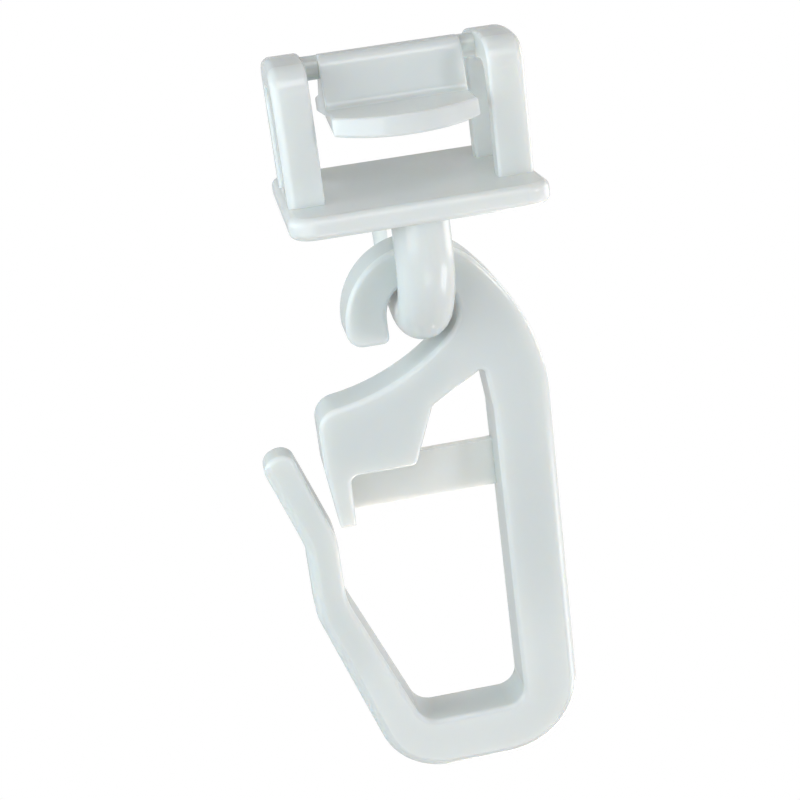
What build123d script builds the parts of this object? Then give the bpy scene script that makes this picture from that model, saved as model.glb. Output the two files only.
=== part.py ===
from build123d import *
from math import acos, cos, degrees, radians, sin, sqrt, tan
import os

os.makedirs("parts", exist_ok=True)

# Millimetres and degrees. The origin is the middle of the plate's top face, with X along
# the rail, -Y towards the viewer and +Z up into the rail.

# Plate that runs under the rail's two flanges
plate_length = 14.9
plate_depth = 14.2
plate_thickness = 1.28
plate_corner_radius = 1.5
plate_edge_radius = 0.45

# Two upright frames that run in the rail's slot
ear_inset = 0.28
ear_thickness = 2.14
ear_depth = 7.74
ear_height = 7.98
ear_wall = 1.3
ear_crown = 1.6
ear_arch = 0.5
ear_corner_radius = 1.6
ear_window_radius = 0.85
ear_outer_edge_radius = 0.5
ear_inner_edge_radius = 0.2

# Bar between the frames, which twists when the latch is pushed
bar_radius = 0.69
bar_height = 7.13

# Latch on the bar: an upright panel with a wing each way over the flanges
latch_side_gap = 0.9
latch_skin = 0.036
flange_gap = 3.46
panel_front = 1.36
panel_splay = 0.58
panel_top_radius = 0.85
panel_foot_radius = 0.5
front_wing_reach = 6.55
front_wing_thickness = 1.25
front_wing_rise = 0.25
front_wing_draft = 14.0
rear_wing_reach = 5.9
rear_wing_lift = 0.25
rear_wing_thickness = 0.55
rear_flare = 0.95
rear_flare_drop = 1.43
rear_flare_height = 1.05
rear_flare_radius = 0.75
wing_arch = 0.92
wing_arch_radius = 2.0
latch_edge_radius = 0.14

# Round bail under the plate, which carries the hook
bail_radius = 1.67
bail_half_width = 5.15
bail_drop = 8.11
bail_slot_width = 1.8
bail_slot_length = 4.1
bail_slot_roof = 0.4

# Eye of the hook, open on the left so that it snaps on to the bail
hook_thickness = 3.3
hook_edge_radius = 0.32
limb_edge_radius = 0.72
limb_slack = 0.006
eye_clearance = 0.5
eye_lift = 0.11
eye_wall = 2.55
ring_drop = 0.36
mouth_angle = 47.0
mouth_tip_drop = 1.55
mouth_outer_radius = 1.0
mouth_inner_radius = 0.4

# Spine and foot of the hook
spine_reach = 7.42
spine_width = 3.68
shoulder_radius = 14.3
hook_drop = 39.9
foot_thickness = 3.74
heel_radius = 5.1
heel_inner_radius = 1.3
toe_radius = 4.5
toe_inner_radius = 1.5

# Arm that bridges to the barb, with a window between it and the spine
arm_reach = 7.25
arm_top = 5.25
arm_end_radius = 1.4
arm_bottom = 9.73
arm_foot = 1.52
arm_neck = 0.1
arm_neck_drop = 6.08
arm_corner_radius = 0.5
window_top = 4.05
window_lean = 0.36
window_radius = 0.3
barb_shoulder = 0.65
barb_drop = 3.36
barb_width = 1.55
barb_undercut = 0.46
barb_tip_width = 1.0

# Thin web behind the arm, from the barb to the spine
web_height = 3.15
web_thickness = 0.6
web_back_inset = 0.35
web_bite = 0.4

# Pin that goes into the heading tape
toe_reach = 5.04
toe_inner_reach = 3.2
pin_width = 2.05
pin_gap = 0.32
pin_crook_drop = 0.98
pin_outer_crook = 5.0
pin_inner_crook = 4.15
pin_tip_length = 6.5
pin_tip_lean = 18.7
pin_tip_flat = 0.11
pin_crook_radius = 4.0
pin_tip_thickness = 1.7
pin_taper_start = 5.5
pin_taper_gap = 0.25

# Upright frame at the right-hand end; the other one is its mirror image
ear_inner = plate_length / 2 - ear_inset - ear_thickness
ear_foot = -plate_thickness / 2
ear_spring = ear_height - ear_arch
window_half = ear_depth / 2 - ear_wall
window_crown = ear_height - ear_crown
with BuildPart() as ear:
    with BuildSketch(Plane.YZ.offset(ear_inner)) as ear_outline:
        with BuildLine():
            Polyline(
                (-ear_depth / 2, ear_spring),
                (-ear_depth / 2, ear_foot),
                (ear_depth / 2, ear_foot),
                (ear_depth / 2, ear_spring),
            )
            ThreePointArc((-ear_depth / 2, ear_spring), (0, ear_height), (ear_depth / 2, ear_spring))
        make_face()
        fillet(ear_outline.vertices().group_by(Axis.Y)[-1], ear_corner_radius)
        with BuildLine():
            FilletPolyline(
                (-window_half, ear_foot),
                (-window_half, window_crown),
                (window_half, window_crown),
                (window_half, ear_foot),
                radius=[0, ear_window_radius, ear_window_radius, 0],
                close=True,
            )
        make_face(mode=Mode.SUBTRACT)
    extrude(amount=ear_thickness)
    rims = ear.faces().filter_by(Axis.X).edges().filter_by(lambda e: e.center().Z > ear_foot)
    outer_rim = rims.group_by(Axis.X)[-1]
    outside_rim = outer_rim.filter_by(
        lambda e: abs(e.center().Y) > window_half + ear_wall / 2
        or e.center().Z > window_crown + ear_crown / 4
    )
    other_rims = rims.filter_by(lambda e: e not in outside_rim)
    fillet(outside_rim, ear_outer_edge_radius)
    fillet(other_rims, ear_inner_edge_radius)

# Reach of the two wings in plan, round about the slot's middle
latch_back = bar_radius + latch_skin
latch_top = bar_height + latch_back
wing_draft = tan(radians(front_wing_draft))
with BuildPart() as reach:
    with BuildSketch(Plane.XZ):
        with BuildLine():
            Polyline(
                (0, 0),
                (front_wing_reach + flange_gap * wing_draft, 0),
                (front_wing_reach - (latch_top - flange_gap) * wing_draft, latch_top),
                (0, latch_top),
                close=True,
            )
        make_face()
    revolve(axis=Axis.Z, revolution_arc=-180)
    with BuildSketch(Plane.XY):
        with BuildLine():
            CenterArc((0, 0), rear_wing_reach, 0, 180)
            Line((-rear_wing_reach, 0), (rear_wing_reach, 0))
        make_face()
    extrude(amount=latch_top)

# Latch: side profile run along the rail, then trimmed to the wings' reach
latch_length = 2 * (ear_inner - latch_side_gap)
front_end = front_wing_reach + front_wing_thickness
rear_end = rear_wing_reach + front_wing_thickness
front_wing_top = flange_gap + front_wing_thickness
rear_wing_foot = flange_gap + rear_wing_lift
rear_flare_top = latch_top - rear_flare_drop
rear_wing_root = rear_flare_top - rear_flare_height
with BuildPart() as latch:
    with BuildSketch(Plane.YZ.offset(-latch_length / 2)):
        with BuildLine():
            FilletPolyline(
                (-panel_front, latch_top),
                (-panel_front - panel_splay, front_wing_top + front_wing_rise),
                (-front_end, front_wing_top),
                (-front_end, flange_gap),
                (-bar_radius, flange_gap + wing_arch),
                (rear_end, rear_wing_foot),
                (rear_end, rear_wing_foot + rear_wing_thickness),
                (latch_back + rear_flare, rear_wing_root),
                (latch_back, rear_flare_top),
                (latch_back, latch_top),
                radius=[
                    panel_top_radius,
                    panel_foot_radius,
                    0,
                    0,
                    wing_arch_radius,
                    0,
                    0,
                    rear_flare_radius,
                    rear_flare_radius,
                    latch_back,
                ],
                close=True,
            )
        make_face()
    extrude(amount=latch_length)
    add(reach.part, mode=Mode.INTERSECT)
    fillet(latch.edges().filter_by(Axis.X, reverse=True), latch_edge_radius)

# Glider: plate, frames, bar, latch and bail in one moulding
bend_height = bail_half_width - bail_drop
with BuildPart() as glider:
    with BuildSketch(Plane.XY.offset(-plate_thickness)):
        RectangleRounded(plate_length, plate_depth, plate_corner_radius)
    extrude(amount=plate_thickness)
    fillet(glider.faces().filter_by(Axis.Z).edges(), plate_edge_radius)
    add(ear.part)
    mirror(ear.part, about=Plane.YZ)
    with BuildSketch(Plane.YZ.offset(-ear_inner - ear_thickness / 2)):
        with Locations((0, bar_height)):
            Circle(bar_radius)
    extrude(amount=2 * ear_inner + ear_thickness)
    add(latch.part)
    with BuildLine(Plane.YZ) as bail_path:
        front_leg = Line((-bail_half_width, ear_foot), (-bail_half_width, bend_height))
        CenterArc((0, bend_height), bail_half_width, 180, 180)
        Line((bail_half_width, bend_height), (bail_half_width, ear_foot))
    with BuildSketch(Plane(front_leg @ 0, z_dir=front_leg % 0)):
        Circle(bail_radius)
    sweep(path=bail_path.wires()[0])
    slot_middle = -plate_thickness - bail_slot_roof - bail_slot_length / 2
    with BuildSketch(Plane.XZ.offset(-bail_half_width - 2 * bail_radius)):
        with Locations((0, slot_middle)):
            SlotOverall(bail_slot_length, bail_slot_width, rotation=90)
    extrude(amount=4 * bail_radius, mode=Mode.SUBTRACT)

glider.part.label = "glider"
export_step(glider.part, "parts/glider.step")

# Places along the hook, with the eye round the bail's lowest point
eye_radius = bail_radius + eye_clearance
eye_height = -bail_drop + eye_lift
ring_radius = eye_radius + eye_wall
ring_height = eye_height - ring_drop
mouth_tip = eye_height - mouth_tip_drop
mouth_lean = radians(mouth_angle)
mouth_edge = (eye_radius * cos(mouth_lean), eye_height - eye_radius * sin(mouth_lean))
shoulder_x = spine_reach - shoulder_radius
shoulder_swing = shoulder_radius - ring_radius
shoulder_angle = degrees(acos(-shoulder_x / shoulder_swing))
shoulder_height = ring_height - sqrt(shoulder_swing**2 - shoulder_x**2)
spine_inner = spine_reach - spine_width
foot_top = -hook_drop + foot_thickness
arm_end = (-arm_reach, eye_height - arm_top)
arm_under = eye_height - arm_bottom
barb_inner = -arm_reach + barb_width
barb_tip = arm_under - barb_drop
barb_back = -arm_reach + barb_undercut
pin_right = barb_back - pin_gap
pin_left = pin_right - pin_width
pin_middle = (pin_left + pin_right) / 2
pin_upper = barb_tip - pin_crook_drop
tip_lean = radians(pin_tip_lean)
tip_x = pin_middle - pin_tip_length * sin(tip_lean)
tip_height = pin_upper + pin_tip_length * cos(tip_lean)
tip_side = (pin_width / 2 * cos(tip_lean), pin_width / 2 * sin(tip_lean))
crook_step = pin_width / 2 * tan(tip_lean / 2)
taper_start = -hook_drop + pin_taper_start
taper_end = tip_height + pin_width
hook_front = -hook_thickness / 2
pin_front = -pin_tip_thickness / 2

# What the pin loses in front as it thins towards its tip, kept clear of the arm and barb
with BuildPart() as taper:
    with BuildSketch(Plane.YZ.offset(tip_x - pin_width)):
        with BuildLine():
            thinning = TangentArc(
                (hook_front, taper_start),
                (pin_front, taper_end),
                tangent=(0, 1),
            )
            Polyline(
                thinning @ 1,
                (2 * hook_front, taper_end),
                (2 * hook_front, taper_start),
                thinning @ 0,
            )
        make_face()
    extrude(amount=-tip_x + pin_width)
    with BuildSketch(Plane.XZ):
        with BuildLine():
            Polyline(
                (0, barb_tip - pin_taper_gap),
                (barb_back - pin_taper_gap, barb_tip - pin_taper_gap),
                (-arm_reach - pin_taper_gap, arm_under + barb_shoulder),
                (-arm_reach - pin_taper_gap, 0),
                (0, 0),
                close=True,
            )
        make_face()
    extrude(amount=hook_thickness, mode=Mode.SUBTRACT)

# Envelope with fuller rims round the pin, foot and spine, which leaves the hook at the shoulder
crook_foot = pin_upper - crook_step
with BuildPart() as limbs:
    with BuildSketch(Plane.XZ):
        with BuildLine():
            limb_outside = FilletPolyline(
                (pin_left - limb_slack - (taper_end - crook_foot) * tan(tip_lean), taper_end),
                (pin_left - limb_slack, crook_foot),
                (pin_left - limb_slack, pin_upper - pin_outer_crook),
                (-toe_reach - limb_slack, -hook_drop - limb_slack),
                (spine_reach + limb_slack, -hook_drop - limb_slack),
                (spine_reach + limb_slack, 0),
                radius=[pin_crook_radius, pin_crook_radius, toe_radius, heel_radius],
            )
            Polyline(
                limb_outside @ 1,
                (-arm_reach - 2 * pin_taper_gap, 0),
                (-arm_reach - 2 * pin_taper_gap, taper_end),
                limb_outside @ 0,
            )
        make_face()
    extrude(amount=hook_thickness / 2 + limb_slack, both=True)
    limb_taper = Pos(0, -limb_slack, 0) * taper.part
    add(limb_taper, mode=Mode.SUBTRACT)
    mirror(limb_taper, about=Plane.XZ, mode=Mode.SUBTRACT)
    limb_rims = limbs.edges().filter_by(Axis.Y, reverse=True)
    fillet(
        limb_rims.filter_by(
            lambda e: limb_outside.distance_to((e.center().X, e.center().Z, 0)) < hook_edge_radius
        ),
        limb_edge_radius,
    )

# Hook: one flat outline, thinned at the pin and rounded all along its rims
with BuildPart() as pleat_hook:
    with BuildSketch(Plane.XZ) as outline:
        with BuildLine():
            FilletPolyline(
                (-ring_radius, ring_height),
                (-ring_radius, mouth_tip),
                (-eye_radius, mouth_tip),
                (-eye_radius, eye_height),
                radius=[mouth_outer_radius, mouth_inner_radius],
            )
            CenterArc((0, eye_height), eye_radius, -mouth_angle, 180 + mouth_angle)
            TangentArc(mouth_edge, arm_end, tangent=(-sin(mouth_lean), -cos(mouth_lean)))
            Polyline(
                arm_end,
                (-arm_reach, arm_under + barb_shoulder),
                (barb_back, barb_tip),
                (barb_back + barb_tip_width, barb_tip),
            )
            FilletPolyline(
                (barb_back + barb_tip_width, barb_tip),
                (barb_inner, arm_under),
                (-arm_foot, arm_under),
                (-arm_neck, eye_height - arm_neck_drop),
                (spine_inner - window_lean, eye_height - window_top),
                (spine_inner, shoulder_height),
                (spine_inner, foot_top),
                (-toe_inner_reach, foot_top),
                (pin_right, pin_upper - pin_inner_crook),
                (pin_right, pin_upper + crook_step),
                (tip_x + tip_side[0], tip_height + tip_side[1]),
                (tip_x - tip_side[0], tip_height - tip_side[1]),
                (pin_left, crook_foot),
                (pin_left, pin_upper - pin_outer_crook),
                (-toe_reach, -hook_drop),
                (spine_reach, -hook_drop),
                (spine_reach, shoulder_height),
                radius=[
                    arm_corner_radius,
                    arm_corner_radius,
                    window_radius,
                    window_radius,
                    pin_crook_radius,
                    heel_inner_radius,
                    toe_inner_radius,
                    pin_crook_radius,
                    pin_crook_radius,
                    pin_width / 2 - pin_tip_flat,
                    pin_width / 2 - pin_tip_flat,
                    pin_crook_radius,
                    pin_crook_radius,
                    toe_radius,
                    heel_radius,
                ],
            )
            CenterArc((shoulder_x, shoulder_height), shoulder_radius, 0, shoulder_angle)
            CenterArc((0, ring_height), ring_radius, shoulder_angle, 180 - shoulder_angle)
        make_face()
        fillet(outline.vertices().sort_by_distance(arm_end)[0], arm_end_radius)
    extrude(amount=hook_thickness / 2, both=True)
    add(taper.part, mode=Mode.SUBTRACT)
    mirror(taper.part, about=Plane.XZ, mode=Mode.SUBTRACT)
    hook_rims = pleat_hook.edges().filter_by(Axis.Y, reverse=True)
    fillet(
        hook_rims.filter_by(lambda e: abs(e.center().Z - taper_start) > hook_edge_radius / 100),
        hook_edge_radius,
    )
    add(limbs.part, mode=Mode.INTERSECT)
    with BuildSketch(Plane.XZ.offset(hook_front + web_back_inset)):
        with Locations((barb_inner - web_bite, arm_under)):
            Rectangle(
                spine_inner - barb_inner + 2 * web_bite,
                web_height,
                align=(Align.MIN, Align.MAX),
            )
    extrude(amount=web_thickness)

pleat_hook.part.label = "pleat_hook"
export_step(pleat_hook.part, "parts/pleat_hook.step")
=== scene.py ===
from math import radians

import bpy
from mathutils import Matrix, Vector


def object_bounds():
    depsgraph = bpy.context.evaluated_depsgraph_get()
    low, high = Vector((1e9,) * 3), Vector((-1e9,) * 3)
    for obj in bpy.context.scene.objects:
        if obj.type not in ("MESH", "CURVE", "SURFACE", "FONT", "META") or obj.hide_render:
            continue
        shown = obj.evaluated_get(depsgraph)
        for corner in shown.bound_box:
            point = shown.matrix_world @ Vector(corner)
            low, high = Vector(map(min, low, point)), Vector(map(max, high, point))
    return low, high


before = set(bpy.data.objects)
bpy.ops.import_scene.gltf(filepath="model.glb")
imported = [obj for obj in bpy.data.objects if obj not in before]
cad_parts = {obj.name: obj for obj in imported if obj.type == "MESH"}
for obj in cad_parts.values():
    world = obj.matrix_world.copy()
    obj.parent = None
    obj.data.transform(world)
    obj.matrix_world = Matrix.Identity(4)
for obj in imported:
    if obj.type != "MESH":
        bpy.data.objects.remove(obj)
cad_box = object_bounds()

# Glider: plate, slot frames, spring latch and bail in one moulding of white acetal.
# A polished steel mould gives it a satin gloss, and the plastic lets a little light
# through, so thin edges glow and shaded places stay soft.
MM = 0.001


def linear(hex_colour):
    """An sRGB hex colour as the linear RGBA that a shader takes."""
    channels = [int(hex_colour[i:i + 2], 16) / 255 for i in (1, 3, 5)]
    return [c / 12.92 if c <= 0.04045 else ((c + 0.055) / 1.055) ** 2.4 for c in channels] + [1]


def add_node(tree, kind, sockets, **settings):
    """Adds a node, with each input socket set to a value or linked to another node's output."""
    node = tree.nodes.new(kind)
    for name, value in settings.items():
        setattr(node, name, value)
    for name, value in sockets.items():
        if isinstance(value, bpy.types.NodeSocket):
            tree.links.new(value, node.inputs[name])
        else:
            node.inputs[name].default_value = value
    return node


def moulded_acetal(name, pale, deep, flow_mm, glow_mm):
    """White acetal: faint clouds along the flow, a fine satin grain, and shallow sink waves."""
    # The mould's grain is some hundredths of a millimetre wide, and is drawn coarser to show.
    grain_mm = 0.25
    grain_depth_mm = 0.004
    grain_strength = 0.25
    # Thick places sink a little as they cool, in waves about as long as the walls are thick.
    sink_mm = 4.0
    sink_depth_mm = 0.03
    sink_strength = 0.3
    smoothest = 0.1
    roughest = 0.18
    acetal_ior = 1.48
    glow_by_colour = (1.0, 0.85, 0.7)
    material = bpy.data.materials.new(name)
    material.use_nodes = True
    tree = material.node_tree
    tree.nodes.clear()
    place = add_node(tree, "ShaderNodeTexCoord", {}).outputs["Object"]
    flow = add_node(
        tree, "ShaderNodeTexNoise", {"Vector": place, "Scale": 1 / (flow_mm * MM), "Detail": 2.0}
    )
    clouds = add_node(
        tree,
        "ShaderNodeMix",
        {"Factor": flow.outputs["Fac"], "A": linear(pale), "B": linear(deep)},
        data_type="RGBA",
    )
    grain = add_node(
        tree, "ShaderNodeTexNoise", {"Vector": place, "Scale": 1 / (grain_mm * MM), "Detail": 3.0}
    )
    sink = add_node(
        tree, "ShaderNodeTexNoise", {"Vector": place, "Scale": 1 / (sink_mm * MM), "Detail": 1.0}
    )
    satin = add_node(
        tree,
        "ShaderNodeMapRange",
        {"Value": grain.outputs["Fac"], "To Min": smoothest, "To Max": roughest},
    )
    waves = add_node(
        tree,
        "ShaderNodeBump",
        {
            "Height": sink.outputs["Fac"],
            "Strength": sink_strength,
            "Distance": sink_depth_mm * MM,
        },
    )
    skin = add_node(
        tree,
        "ShaderNodeBump",
        {
            "Height": grain.outputs["Fac"],
            "Strength": grain_strength,
            "Distance": grain_depth_mm * MM,
            "Normal": waves.outputs["Normal"],
        },
    )
    plastic = add_node(
        tree,
        "ShaderNodeBsdfPrincipled",
        {
            "Base Color": clouds.outputs["Result"],
            "Roughness": satin.outputs["Result"],
            "IOR": acetal_ior,
            "Subsurface Weight": 1.0,
            "Subsurface Radius": glow_by_colour,
            "Subsurface Scale": glow_mm * MM,
            "Normal": skin.outputs["Normal"],
        },
    )
    add_node(tree, "ShaderNodeOutputMaterial", {"Surface": plastic.outputs["BSDF"]})
    return material


glider_acetal = moulded_acetal("glider_white_acetal", "#E0E5E5", "#DAE0E0", flow_mm=6.0, glow_mm=1.5)
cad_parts["glider"].data.materials[0] = glider_acetal

# Pleat hook: a second moulding of white acetal, clipped over the bail by its open eye.
# Its white is a shade greyer than the glider's.
hook_acetal = moulded_acetal("hook_white_acetal", "#DDE3E3", "#D7DDDD", flow_mm=8.0, glow_mm=1.5)
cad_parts["pleat_hook"].data.materials[0] = hook_acetal

# Studio: the glider hangs free in a white light tent among softboxes, with a pale paper
# floor well below it. To the camera, floor and sky are plain white, and in reflections
# a little dimmer.
floor_drop = 150 * MM
floor_size = 4.0
tent_white = linear("#FFFFFF")
sky_strength = 0.17
reflection_strength = 0.6


def white_to_camera(tree, other):
    """A shader that is white to the camera, dimmer in reflections, and the other one to the rest."""
    path = add_node(tree, "ShaderNodeLightPath", {})
    kind = "ShaderNodeBackground" if other.node.type == "BACKGROUND" else "ShaderNodeEmission"
    dim = add_node(tree, kind, {"Color": tent_white, "Strength": reflection_strength})
    white = add_node(tree, kind, {"Color": tent_white, "Strength": 1.0})
    mirrored = add_node(
        tree, "ShaderNodeMixShader", {0: path.outputs["Is Glossy Ray"], 1: other, 2: dim.outputs[0]}
    )
    return add_node(
        tree,
        "ShaderNodeMixShader",
        {0: path.outputs["Is Camera Ray"], 1: mirrored.outputs["Shader"], 2: white.outputs[0]},
    ).outputs["Shader"]


bpy.ops.object.select_all(action="DESELECT")
bpy.ops.mesh.primitive_plane_add(size=floor_size, location=(0, 0, cad_box[0][2] - floor_drop))
floor = bpy.context.object
floor.name = "floor"
floor_paper = bpy.data.materials.new("white_paper")
floor_paper.use_nodes = True
floor_tree = floor_paper.node_tree
floor_tree.nodes.clear()
paper = add_node(floor_tree, "ShaderNodeBsdfDiffuse", {"Color": linear("#F2F2F2")})
add_node(
    floor_tree,
    "ShaderNodeOutputMaterial",
    {"Surface": white_to_camera(floor_tree, paper.outputs["BSDF"])},
)
floor.data.materials.append(floor_paper)

world = bpy.data.worlds.new("light_tent")
bpy.context.scene.world = world
world.use_nodes = True
sky_tree = world.node_tree
sky_tree.nodes.clear()
sky = add_node(sky_tree, "ShaderNodeBackground", {"Color": tent_white, "Strength": sky_strength})
add_node(
    sky_tree,
    "ShaderNodeOutputWorld",
    {"Surface": white_to_camera(sky_tree, sky.outputs["Background"])},
)


def softbox(name, place_mm, size_mm, watts, colour):
    """A square area lamp at a place, turned to the middle of the object."""
    lamp = bpy.data.lights.new(name, "AREA")
    lamp.size = size_mm * MM
    lamp.energy = watts
    lamp.color = linear(colour)[:3]
    holder = bpy.data.objects.new(name, lamp)
    bpy.context.scene.collection.objects.link(holder)
    middle = (Vector(cad_box[0]) + Vector(cad_box[1])) / 2
    holder.location = Vector(place_mm) * MM
    holder.rotation_euler = (middle - holder.location).to_track_quat("-Z", "Y").to_euler()


softbox("key_softbox", place_mm=(-110, -105, 20), size_mm=150, watts=0.138, colour="#F6FCFF")
softbox("left_softbox", place_mm=(-120, 0, 25), size_mm=90, watts=0.08, colour="#E8F9FF")
softbox("fill_softbox", place_mm=(190, -170, 30), size_mm=45, watts=0.17, colour="#FFFCFF")
softbox("top_softbox", place_mm=(0, -170, 190), size_mm=120, watts=0.15, colour="#FFFBFA")
softbox("low_softbox", place_mm=(0, -170, -190), size_mm=120, watts=0.1, colour="#FFF9F2")
softbox("low_right_softbox", place_mm=(190, -60, -160), size_mm=120, watts=0.19, colour="#F6F9FF")
softbox("side_softbox", place_mm=(130, 40, 0), size_mm=100, watts=0.08, colour="#FFFBF4")
softbox("back_softbox", place_mm=(60, 80, -150), size_mm=80, watts=0.24, colour="#FFF6EA")

# Camera: the photograph's own place, turn and lens, fitted to the object's square edges.
# It stands under nine centimetres away, so it sees from a millimetre on.
camera_place = Vector((-11.61, -85.37, 18.03)) * MM
camera_azimuth = radians(-6.51)
camera_elevation = radians(20.33)
camera_roll = radians(7.5)
lens_mm = 66.05
sensor_mm = 36
nearest_mm = 1
camera_data = bpy.data.cameras.new("camera")
camera_data.sensor_width = sensor_mm
camera_data.lens = lens_mm
camera_data.clip_start = nearest_mm * MM
camera = bpy.data.objects.new("camera", camera_data)
bpy.context.scene.collection.objects.link(camera)
turn = (
    Matrix.Rotation(camera_azimuth, 4, "Z")
    @ Matrix.Rotation(radians(90) - camera_elevation, 4, "X")
    @ Matrix.Rotation(-camera_roll, 4, "Z")
)
camera.matrix_world = Matrix.Translation(camera_place) @ turn
bpy.context.scene.camera = camera
bpy.context.scene.view_settings.view_transform = "Standard"
